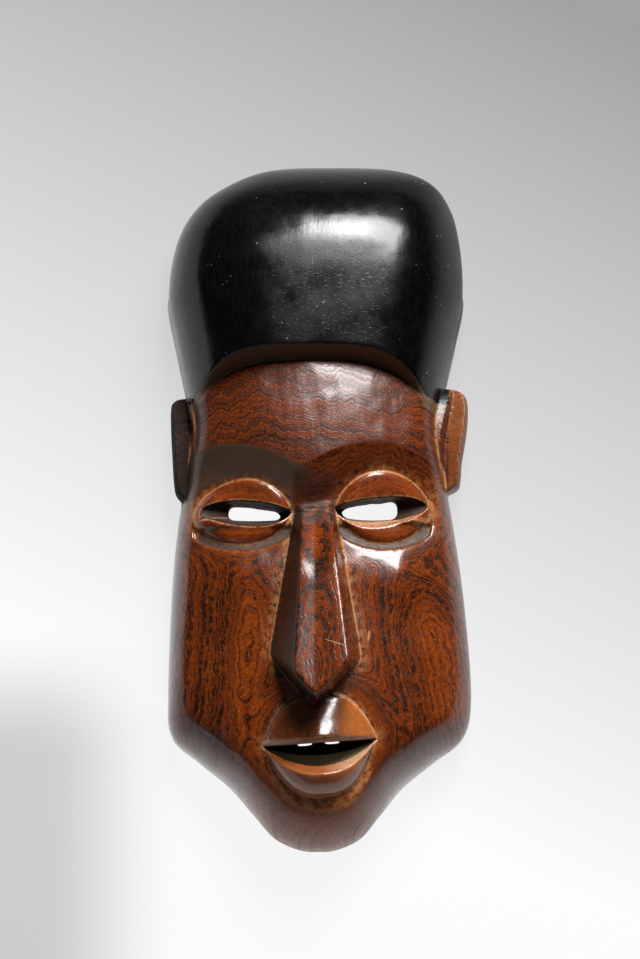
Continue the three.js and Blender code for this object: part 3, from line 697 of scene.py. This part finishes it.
def skin(field):
    """A closed mesh over the field's zero, one corner in each cell that it crosses."""
    solid = field > 0
    near = [slice(0, -1), slice(1, None)]
    count = np.zeros(tuple(n - 1 for n in field.shape), np.int8)
    for i, j, k in np.ndindex(2, 2, 2):
        count += solid[near[i], near[j], near[k]]
    cells = np.argwhere((count > 0) & (count < 8))
    number = np.full(count.shape, -1, np.int32)
    number[tuple(cells.T)] = np.arange(len(cells))
    total = np.zeros((len(cells), 3))
    crossings = np.zeros(len(cells))
    for axis in range(3):
        for steps in np.ndindex(2, 2):
            start = np.insert(steps, axis, 0)
            end = np.insert(steps, axis, 1)
            a = field[tuple((cells + start).T)]
            b = field[tuple((cells + end).T)]
            crossed = (a > 0) != (b > 0)
            place = np.tile(start.astype(float), (len(cells), 1))
            place[:, axis] = np.where(crossed, a / np.where(crossed, a - b, 1), 0)
            total += np.where(crossed[:, None], place, 0)
            crossings += crossed
    corners = (cells + total / crossings[:, None]) * CELL + np.array(LOW_CORNER)
    quads = []
    for axis in range(3):
        change = np.diff(solid.astype(np.int8), axis=axis)
        steps = -np.insert([(0, 0), (1, 0), (1, 1), (0, 1)], axis, 0, axis=1)
        for leaving in (True, False):
            places = np.argwhere(change == (-1 if leaving else 1))
            quad = np.stack([number[tuple((places + one).T)] for one in steps], axis=1)
            outward = leaving != (axis == 1)
            quads.append(quad if outward else quad[:, ::-1])
    return corners, np.vstack(quads)


def mesh_of(corners, quads):
    mesh = bpy.data.meshes.new("carved_mask")
    mesh.vertices.add(len(corners))
    mesh.vertices.foreach_set("co", (corners * MM).astype(np.float32).ravel())
    mesh.loops.add(quads.size)
    mesh.loops.foreach_set("vertex_index", quads.astype(np.int32).ravel())
    mesh.polygons.add(len(quads))
    mesh.polygons.foreach_set("loop_start", np.arange(0, quads.size, 4, dtype=np.int32))
    mesh.update(calc_edges=True)
    mesh.validate()
    return mesh


def placed(name, data):
    """A new object in the scene."""
    made = bpy.data.objects.new(name, data)
    scene.collection.objects.link(made)
    return made


def applied(piece):
    """Makes the piece's modifiers part of its mesh."""
    bpy.context.view_layer.update()
    shaped = piece.evaluated_get(bpy.context.evaluated_depsgraph_get())
    done = bpy.data.meshes.new_from_object(shaped)
    piece.modifiers.clear()
    old, piece.data = piece.data, done
    bpy.data.meshes.remove(old)


def of_corners(mesh, what):
    """The place or the normal of each corner."""
    values = np.empty(len(mesh.vertices) * 3, np.float32)
    mesh.vertices.foreach_get(what, values)
    return values.reshape(-1, 3)


def bends(mesh):
    """How sharply each corner's surface bends: above nothing on a ridge, below nothing in a crease."""
    count = len(mesh.vertices)
    places = of_corners(mesh, "co") / MM
    normals = of_corners(mesh, "normal")
    ends = np.empty(len(mesh.edges) * 2, np.int32)
    mesh.edges.foreach_get("vertices", ends)
    a, b = ends.reshape(-1, 2).T
    step = places[b] - places[a]
    square = np.maximum((step ** 2).sum(1), 0.01)
    turn_a = -(normals[a] * step).sum(1) / square
    turn_b = (normals[b] * step).sum(1) / square

    def pooled(at_a=None, at_b=None):
        return np.bincount(a, at_a, count) + np.bincount(b, at_b, count)

    number = np.maximum(pooled(), 1)
    bend = pooled(turn_a, turn_b) / number
    for _ in range(2):
        bend = 0.5 * bend + 0.5 * pooled(bend[b], bend[a]) / number
    return bend


def carved_mask():
    field, parts = carving()
    corners, quads = skin(field)
    mesh = mesh_of(corners, quads)
    piece = placed("carved_mask", mesh)
    mesh.polygons.foreach_set("use_smooth", np.ones(len(mesh.polygons), bool))
    if 2 * len(quads) > MOST_TRIANGLES:
        thin = piece.modifiers.new("thin", "DECIMATE")
        thin.ratio = MOST_TRIANGLES / (2 * len(quads))
        thin.use_collapse_triangulate = True
        applied(piece)
    return piece, keep_places(piece, parts)


def keep_places(piece, parts):
    """Keeps with each corner what its finish needs to know about it, and says under which names."""
    places = of_corners(piece.data, "co") / MM
    block, nose, lips, others, cuts, hollow = (sampled(parts[name], places) for name in PARTS)
    joined = np.max([nose, lips, others], axis=0)
    high_up = places[:, 2] > LOWEST_LID
    on_nose = smooth(-2 * SURFACE, -SURFACE, nose)
    turned_left = smooth(-0.25, -0.55, of_corners(piece.data, "normal")[:, 0])
    values = {
        "bend": bends(piece.data),
        "seam": -np.minimum(block, joined),
        "apart": -joined,
        "cut": cuts,
        "hollow": hollow,
        "figure": figure_at(places, nose, lips),
        "lips": smooth(-2 * SURFACE, -SURFACE, lips),
        # Painted light and reflection on the lips
        "pale_lips": pale_lips(places, lips),
        # A painted reflection: the olive on the facet under the left brow
        "left_brow": left_brow(places),
        "lids": smooth(-0.8, -0.4, others) * high_up,
        # The groove under the lower lids, which gets painted shade
        "under_lids": under_lids(places[:, 0], places[:, 1]) * smooth(0.1, 0.5, -others) * high_up,
        "nose": on_nose,
        # Painted shade on the nose's left side, where its surface turns to the left
        "nose_left": on_nose * turned_left,
    }
    for name, amounts in values.items():
        made = piece.data.attributes.new(name, "FLOAT", "POINT")
        made.data.foreach_set("value", amounts.astype(np.float32))
    return list(values)


mask, kept_names = carved_mask()
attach(mask, "root")
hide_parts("mask")


# Finishes
def maths(operation, swapped=False):
    """A method that joins a signal with other signals or numbers in a Math node."""
    def joined(self, *others):
        values = (*others, self) if swapped else (self, *others)
        return self.finish.node("ShaderNodeMath", {"operation": operation}, dict(enumerate(values)))
    return joined


class Signal:
    """What a socket gives, so that a finish's sums read as plain expressions."""

    def __init__(self, finish, socket):
        self.finish = finish
        self.socket = socket

    __add__ = __radd__ = maths("ADD")
    __sub__ = maths("SUBTRACT")
    __rsub__ = maths("SUBTRACT", swapped=True)
    __mul__ = __rmul__ = maths("MULTIPLY")
    __truediv__ = maths("DIVIDE")
    __pow__ = maths("POWER")
    __abs__ = maths("ABSOLUTE")
    at_least = maths("MAXIMUM")
    at_most = maths("MINIMUM")

    def ramp(self, low, high, start=0.0, end=1.0):
        """A smooth change from start to end as the signal goes from low to high."""
        settings = {"interpolation_type": "SMOOTHSTEP"}
        values = {"Value": self, "From Min": low, "From Max": high, "To Min": start, "To Max": end}
        return self.finish.node("ShaderNodeMapRange", settings, values)


class Finish:
    """A material and the nodes that make it."""

    def __init__(self, name):
        self.material = bpy.data.materials.new(name)
        self.material.use_nodes = True
        self.tree = self.material.node_tree
        self.tree.nodes.clear()
        self.place = self.node("ShaderNodeTexCoord", output="Object")

    def node(self, kind, settings=None, values=None, output=0):
        """Adds a node with its settings and its inputs' values or links, and gives one of its outputs."""
        made = self.tree.nodes.new(kind)
        for key, value in (settings or {}).items():
            setattr(made, key, value)
        for key, value in (values or {}).items():
            if isinstance(value, Signal):
                self.tree.links.new(value.socket, made.inputs[key])
            else:
                made.inputs[key].default_value = value
        return Signal(self, made.outputs[output]) if made.outputs else None

    def axes(self):
        """The place on the piece in millimetres: across, up and out."""
        parts = [self.node("ShaderNodeSeparateXYZ", None, {0: self.place}, axis) for axis in "XYZ"]
        return [part / MM for part in parts]

    def vector(self, x, y, z):
        return self.node("ShaderNodeCombineXYZ", None, {0: x, 1: y, 2: z})

    def noise(self, vector, scale=1.0, detail=2.0, roughness=0.5, w=None):
        values = {"Vector": vector, "Scale": scale, "Detail": detail, "Roughness": roughness}
        if w is None:
            return self.node("ShaderNodeTexNoise", {"noise_dimensions": "3D"}, values)
        return self.node("ShaderNodeTexNoise", {"noise_dimensions": "4D"}, {**values, "W": w})

    def noise_line(self, w, scale, detail):
        values = {"W": w, "Scale": scale, "Detail": detail}
        return self.node("ShaderNodeTexNoise", {"noise_dimensions": "1D"}, values)

    def blend(self, share, first, second):
        return self.node("ShaderNodeMix", {"data_type": "RGBA"}, {0: share, 6: first, 7: second}, 2)

    def attribute(self, name):
        return self.node("ShaderNodeAttribute", {"attribute_name": name}, None, "Fac")

    def finish(self, shader):
        self.node("ShaderNodeOutputMaterial", None, {"Surface": shader})
        return self.material


def seen(name):
    """One of the colours, made linear."""
    parts = [c / 255 for c in COLOURS[name]]
    linear = [c / 12.92 if c <= 0.04 else ((c + 0.055) / 1.055) ** 2.4 for c in parts]
    return (*linear, 1.0)


# The colours of the wood and the paint, and of the light and shade painted on them, as seen on a screen,
# from 0 to 255
COLOURS = {
    "dark_band": (94, 36, 6), "light_band": (124, 53, 8), "fibre": (44, 16, 6), "grain": (48, 17, 6),
    "shade": (70, 24, 8), "forehead": (40, 13, 4), "lips_left": (58, 20, 8), "lids": (128, 56, 18),
    "thread": (24, 9, 4), "line": (10, 4, 2), "fleck": (176, 84, 20), "worn": (168, 116, 70),
    "painted_light_under_lip": (206, 140, 88), "upper_lip_right": (196, 116, 58), "lower_lip": (196, 120, 72),
    "nose_left": (18, 6, 3), "pale_lips": (176, 136, 104), "right_ear": (136, 78, 34),
    "left_brow": (72, 53, 32), "under_lids": (42, 36, 27), "nose_root": (28, 12, 6), "chin": (168, 84, 30),
    "inside": (16, 11, 8), "lower_wall": (178, 132, 100), "mouth_plate": (196, 180, 140),
    "left_ear": (12, 8, 6), "bare": (128, 84, 50), "bare_fibre": (86, 52, 30), "bevel": (92, 72, 52),
    "paint": (2, 2, 2), "stroke": (7, 7, 7), "chip": (176, 166, 152), "rubbed_paint": (110, 66, 40),
}

# Noise over the mask: its size in millimetres, detail and roughness
NOISES = {
    "broad": (45, 1.0, 0.5), "middle": (12, 1.5, 0.5), "small": (4.5, 2.0, 0.5), "grains": (0.75, 1.0, 0.6),
    "scuff": (4, 3.0, 0.7), "patches": (22, 3.0, 0.6), "pits": (2.1, 2.0, 0.6),
}

# Noise across the growth rings: its size in millimetres, its detail and where it starts
RING_NOISES = [(5.5, 1.0, 0), (3.3, 0.0, 40), (1.7, 0.0, 90)]

# How far the growth rings waver, in millimetres
WAVER = {"broad": 12, "middle": 4, "small": 2.2, "weave": 5, "zigzag": 17}

# Upright lines that some parts lie to both sides of
LINES = {"aside": 0, "off_nose": -2, "off_middle": 6}

# Where the parts of the mask lie: along some axes, where each starts to show and where it shows in full
REGIONS = {
    "forehead": [("y", -5, 25)],
    "forehead_left": [("x", 10, -40)],
    "chin": [("y", -165, -195)],
    "right_side": [("x", 64, 86)],
    "right_ear": [("x", 76, 78), ("y", 2, 6), ("y", 72, 69)],
    "left_ear": [("x", -75, -77), ("y", -3, 1), ("y", 67, 64)],
    "ears": [("aside", 77, 78.5), ("y", 69, 67.5)],
    "flanks": [("aside", 72, 80)],
    "nose_root": [("y", -24, -18), ("off_nose", 14, 10.5)],
    "root_shade": [("y", -24, -18), ("off_nose", 14, 10.5), ("y", 12, 6)],
    "lower_wall": [("x", 2, 6), ("y", -11, -14), ("y", -45, -40), ("z", 45, 47)],
    "mouth_plate": [("y", -110, -120), ("z", 50.5, 51.3), ("z", 53.5, 52.7)],
    # The left of the lips, which gets painted shade
    "dark_lip": [("x", 12, -6), ("y", -156, -150)],
    "unrubbed_lip": [("x", 16, -2)],
    # The right of the upper lip, which gets painted light
    "pale_lip": [("x", 7, 20), ("y", -153, -147)],
    "low_lip": [("y", -158, -166)],
    # Below the lower lip, where painted light stands in for the light there
    "below_lips": [("apart", 11, 6), ("apart", 0.1, 0.6), ("y", -158, -168), ("x", -34, -6)],
    "scuffed_hair": [("off_middle", 52, 20), ("y", 152, 138)],
    "inside": [("cut", -0.5, -0.1)],
    "rim": [("cut", -1.5, -0.7), ("cut", -0.15, -0.5)],
    "bare": [("hollow", -0.6, -0.2)],
}

# How dull each part is beyond the plain wood, and how much of the coat of polish it loses
PLAIN_DULLNESS = 0.23
DULLER = {"right_side": 0.25, "chin": 0.1, "bare": 0.35, "inside": 0.35, "left_ear": 0.55, "left_brow": 0.1,
          "wear": 0.2, "forehead": 0.08, "under_lids": 0.25, "nose_left": 0.1, "root_shade": 0.3}
COAT = 0.5
UNCOATED = {"paint": 1, "bare": 1, "inside": 1, "chin": 0.8, "left_ear": 1, "forehead": 0.7, "nose": 0.7,
            "nose_left": 1, "under_lids": 1, "root_shade": 1}


def wood_finish(kept_names):
    """A finish that keeps each signal which several parts of it use under the signal's own name."""
    f = Finish("carved_wood")
    f.x, f.y, f.z = f.axes()
    for name, line in LINES.items():
        setattr(f, name, abs(f.x - line))
    for name in kept_names:
        setattr(f, name, f.attribute(name))
    spot = f.vector(f.x, f.y, f.z)
    for name, (size, detail, roughness) in NOISES.items():
        setattr(f, name, f.noise(spot, 1 / size, detail, roughness))
    for name, limits in REGIONS.items():
        within = 1.0
        for axis, low, high in limits:
            within = within * getattr(f, axis).ramp(low, high)
        setattr(f, name, within)
    return f


def streaks(f, sizes, detail=2.0, roughness=0.5, w=None):
    """Noise that is drawn out along the axes, its size given across, up and out."""
    across, up, out = sizes
    return f.noise(f.vector(f.x / across, f.y / up, f.z / out), 1.0, detail, roughness, w)


def layered(f, colour, layers):
    """Lays named colours over another one in turn, each by its share."""
    for name, share in layers.items():
        colour = f.blend(share, colour, seen(name))
    return colour


def figured(f):
    """Dark lines that waver along the growth rings, over an orange brown flecked along them."""
    zigzag = (streaks(f, (9, 45, 45), 2.0, 0.55) - 0.5) * WAVER["zigzag"]
    weave = (streaks(f, (45, 13, 45), 2.0, 0.55) - 0.5) * WAVER["weave"]
    rings = f.figure + weave + (zigzag - weave) * f.forehead
    for name in ("broad", "middle", "small"):
        rings = rings + (getattr(f, name) - 0.5) * WAVER[name]
    bands, lines, threads = (f.noise_line(rings + start, 1 / size, detail)
                             for size, detail, start in RING_NOISES)
    f.fibres = streaks(f, (2.2, 2.2, 2.2), 2.0, 0.6, rings / 0.7)
    flecks = streaks(f, (0.9, 0.9, 0.9), 1.0, 0.5, rings / 0.5 + 30)
    faint = f.small.ramp(0.32, 0.58, 0.25, 1.0).at_least(f.forehead * 0.85)
    faint = faint * (1 - f.lids * 0.55)
    f.line = abs(lines - 0.5).ramp(0.1, 0.04) * faint
    f.thread = abs(threads - 0.5).ramp(0.1, 0.02) * faint
    return layered(f, seen("dark_band"), {
        "light_band": bands.ramp(0.32, 0.66),
        "fibre": f.fibres.ramp(0.42, 0.66) * 0.6,
        "grain": f.grains.ramp(0.5, 0.7) * 0.4,
        "shade": f.broad.ramp(0.5, 0.75) * 0.3,
        "forehead": f.forehead * (0.25 + f.forehead_left * 0.2),
        # Painted shade on the left of the lips
        "lips_left": f.lips * f.dark_lip * 0.5,
        "lids": f.lids * 0.45,
        "thread": f.thread * 0.5,
        "line": f.line * 0.9,
        "fleck": flecks.ramp(0.58, 0.74) * 0.55,
    })


def worn(f, wood):
    """Rubs the edges and the cut lines back to pale wood, and paints light on and below the lips and shade
    on the nose.
    """
    scuff = f.scuff
    f.rubbed = scuff.ramp(0.36, 0.55)
    ridge = f.bend.ramp(0.16, 0.42) * f.rubbed
    crease = f.seam.ramp(1.5, 0.4) * scuff.ramp(0.32, 0.5)
    halo = f.apart.ramp(7, 1) * f.apart.ramp(0.1, 0.6) * scuff.ramp(0.42, 0.62) * 0.5
    wear = ridge.at_least(crease).at_least(f.rim * f.rubbed).at_least(halo)
    wear = wear * (1 - f.nose_root) * (1 - f.nose_left * 0.7)
    wear = wear * (1 - f.lips * f.unrubbed_lip * 0.75)
    for mark in MARKS:
        wear = wear.at_least(small_mark(f, *mark) * 0.9)
    f.wear = wear
    return layered(f, wood, {
        "worn": wear * 0.75,
        # Painted light below the lower lip, pale against the lip's shadow, broken up by noise
        "painted_light_under_lip": f.below_lips * scuff.ramp(0.3, 0.6) * 0.7,
        # Painted light on the right of the upper lip, over a lighter tone on all of the lips
        "upper_lip_right": f.lips * (0.06 + f.pale_lip * 0.3),
        "lower_lip": f.lips * f.low_lip * 0.25,
        # Painted shade: the nose's left side is darkened
        "nose_left": f.nose_left * 0.8,
        # Painted light and reflection on the upper lip's bevel and the lower lip's inside, broken up by
        # noise
        "pale_lips": f.pale_lips * scuff.ramp(0.2, 0.5) * 0.7,
    })


def small_mark(f, place_x, place_y, long, wide, turn):
    """How much of each place a small long mark takes up."""
    dx, dy = f.x - place_x, f.y - place_y
    cos, sin = math.cos(turn), math.sin(turn)
    out = ((dx * cos + dy * sin) / long) ** 2 + ((dy * cos - dx * sin) / wide) ** 2
    return out.ramp(1.2, 0.6)


def shaded(f, wood):
    """Paints light, shade and a reflection on the ears, brows, lids, nose root and cuts; the hollow is bare
    wood.
    """
    wood = layered(f, wood, {
        # Painted light: the right ear is a lighter orange than the wood
        "right_ear": f.right_ear * 0.45,
        # Painted reflection: the facet under the left brow is an olive grey
        "left_brow": f.left_brow * 0.85,
        # Painted shade in the groove under the lower lids
        "under_lids": f.under_lids * 0.85,
        "nose_root": f.root_shade * 0.4,
        "chin": f.chin * 0.35,
        # Painted shade inside the eye and mouth cuts, less on the right eye's lower wall
        "inside": f.inside * (1 - f.lower_wall * 0.7) * 0.9,
        # Painted light on the lower wall of the right eye's cut
        "lower_wall": f.inside * f.lower_wall * f.fibres.ramp(0.3, 0.6) * 0.6,
        # Painted light: the plate behind the lips is pale, though it lies in shade
        "mouth_plate": f.inside * f.mouth_plate,
        # Painted shade: the left ear is near black
        "left_ear": f.left_ear * 0.85,
    })
    bare = layered(f, seen("bare"), {"bare_fibre": f.fibres.ramp(0.35, 0.7)})
    return f.blend(f.bare, wood, bare)


def painted(f, wood):
    """Black paint on the hair, down to the brim, over a bevel whose grey-brown is partly a painted
    reflection.
    """
    across = abs(f.x - BRIM.middle) / BRIM.half_width
    brim = (BRIM.y - across ** 4 * BRIM.drop).at_least(BRIM.lowest)
    above, allowed = f.y - brim, (1 - f.ears) * (1 - f.bare)
    f.paint = (above + (f.small - 0.5) * 1.2).ramp(-0.6, 0.3) * allowed
    # The bevel below the brim is unpainted wood, greyed and lightened as a painted reflection
    wood = layered(f, wood, {"bevel": above.ramp(-7.2, -5.8) * (1 - f.flanks) * allowed * 0.8})
    f.strokes = streaks(f, (1.4, 9, 2), 3.0, 0.6)
    f.chips = f.pits.ramp(0.71, 0.745) * f.patches.ramp(0.44, 0.62) * 0.7
    f.scuffed = f.scuffed_hair * f.patches.ramp(0.2, 0.6, 0.35, 1.0)
    black = layered(f, seen("paint"), {
        "stroke": f.strokes.ramp(0.4, 0.7),
        "chip": f.chips,
        "rubbed_paint": f.bend.ramp(0.1, 0.3) * f.rubbed * 0.6,
    })
    return f.blend(f.paint, wood, black)


def dullness(f):
    """How dull each place is: the wood by its parts, the paint where it is scuffed."""
    polish = (f.line + f.thread) * 0.08 + (f.fibres - 0.5) * 0.12 + PLAIN_DULLNESS
    for name, amount in DULLER.items():
        polish = polish + getattr(f, name) * amount
    satin = 0.16 + f.patches.ramp(0.35, 0.7) * 0.08 + f.scuffed * 0.22
    satin = satin + f.right_side * DULLER["right_side"]
    return polish + (satin - polish) * f.paint


def relief(f):
    """The fine relief of the wood's fibres and of the brushed paint."""
    middle = f.middle - 0.5
    grooves = (f.fibres - 0.5) * 0.2 - f.line * 0.2 - f.thread * 0.08 + middle
    nicks = streaks(f, (2.4, 0.9, 2), 1.0).ramp(0.62, 0.72) * f.scuffed
    brushed = (f.strokes - 0.5) * 0.25 - f.chips * 0.6 - nicks * 0.3
    brushed = brushed + (f.pits - 0.5) * 0.15 + middle * 1.2
    height = grooves + (brushed - grooves) * f.paint
    return f.node("ShaderNodeBump", None, {"Strength": 0.45, "Distance": 0.0004, "Height": height})


def carved_wood(kept_names):
    """Polished wood with a dark figure and worn edges, under black paint on the hair."""
    f = wood_finish(kept_names)
    colour = painted(f, shaded(f, worn(f, figured(f))))
    coat = COAT
    for name, share in UNCOATED.items():
        coat = coat * (1 - getattr(f, name) * share)
    return f.finish(f.node("ShaderNodeBsdfPrincipled", None, {
        "Base Color": colour, "Roughness": dullness(f), "Normal": relief(f),
        "Coat Weight": coat, "Coat Roughness": 0.12, "Specular IOR Level": 0.33,
    }))


def pale_floor():
    """A pale surface that glows, less to the right and far away, with a painted shadow to the lower left
    and painted light below the mask.
    """
    f = Finish("pale_floor")
    x, y, _ = f.axes()
    fall = y + x * 0.45
    glow = (0.70 - fall * 0.00125).at_least(0.22).at_most(0.9)
    near = y.ramp(-330, -450)
    glow = glow * (1 - y.ramp(330, 500) * 0.8) * (1 - x.ramp(190, 420) * 0.55) + near * 0.1
    # A painted shadow to the lower left
    painted_shadow = x.ramp(-75, -165) * y.ramp(-65, -150) * (1 - near)
    # Painted light on the floor below the mask
    painted_light_below_mask = abs(x).ramp(64, 54) * abs(y).ramp(165, 145)
    glow = glow * (1 - painted_shadow * 0.4) + painted_light_below_mask * 0.2
    return f.finish(f.node("ShaderNodeBsdfPrincipled", None, {
        "Base Color": (0.05, 0.05, 0.05, 1), "Roughness": 0.9, "Specular IOR Level": 0.1,
        "Emission Color": f.vector(glow, glow, glow), "Emission Strength": 1.0,
    }))


mask.data.materials.clear()
mask.data.materials.append(carved_wood(kept_names))

# The floor that the mask lies on
FLOOR_HALF = 3.0
floor_mesh = bpy.data.meshes.new("floor")
floor_corners = [(x * FLOOR_HALF, y * FLOOR_HALF, 0) for x, y in ((-1, -1), (1, -1), (1, 1), (-1, 1))]
floor_mesh.from_pydata(floor_corners, [], [(0, 1, 2, 3)])
floor = placed("floor", floor_mesh)
floor.data.materials.append(pale_floor())


# Light and camera
LIGHT_TARGET = Vector((0, 0, 0.03))


def towards(azimuth, elevation):
    """The way to something that stands round the mask: azimuth from +X towards +Y, in degrees."""
    a, e = math.radians(azimuth), math.radians(elevation)
    return Vector((math.cos(a) * math.cos(e), math.sin(a) * math.cos(e), math.sin(e)))


def aimed(place, target):
    return Matrix.Translation(place) @ (target - place).to_track_quat("-Z", "Y").to_matrix().to_4x4()


def softbox(name, azimuth, elevation, distance, size, power):
    light = bpy.data.lights.new(name, "AREA")
    light.shape = "RECTANGLE"
    light.size, light.size_y = size
    light.energy = power
    placed(name, light).matrix_world = aimed(towards(azimuth, elevation) * distance, LIGHT_TARGET)


softbox("key", 70, 45.5, 1.6, (0.88, 0.75), 58)
softbox("glint", 84, 46, 1.55, (0.3, 0.45), 9)
softbox("card", 236, 30, 2.0, (1.7, 1.0), 2)

world = bpy.data.worlds.new("room")
world.use_nodes = True
background = world.node_tree.nodes["Background"]
background.inputs["Color"].default_value = (0.5, 0.5, 0.5, 1)
background.inputs["Strength"].default_value = 0.08
scene.world = world

CAMERA_ELEVATION = 77
CAMERA_DISTANCE = 3.0
IMAGE_HEIGHT = 959
METRES_PER_PIXEL = 0.0005865
SENSOR = 24.0
CAMERA_TARGET = Vector((0.0012, 0.0100, 0.04))
camera_data = bpy.data.cameras.new("camera")
camera_data.sensor_width = SENSOR
camera_data.lens = SENSOR * CAMERA_DISTANCE / (IMAGE_HEIGHT * METRES_PER_PIXEL)
camera = placed("camera", camera_data)
camera.matrix_world = aimed(CAMERA_TARGET + towards(-90, CAMERA_ELEVATION) * CAMERA_DISTANCE, CAMERA_TARGET)
scene.camera = camera
scene.view_settings.view_transform = "Standard"
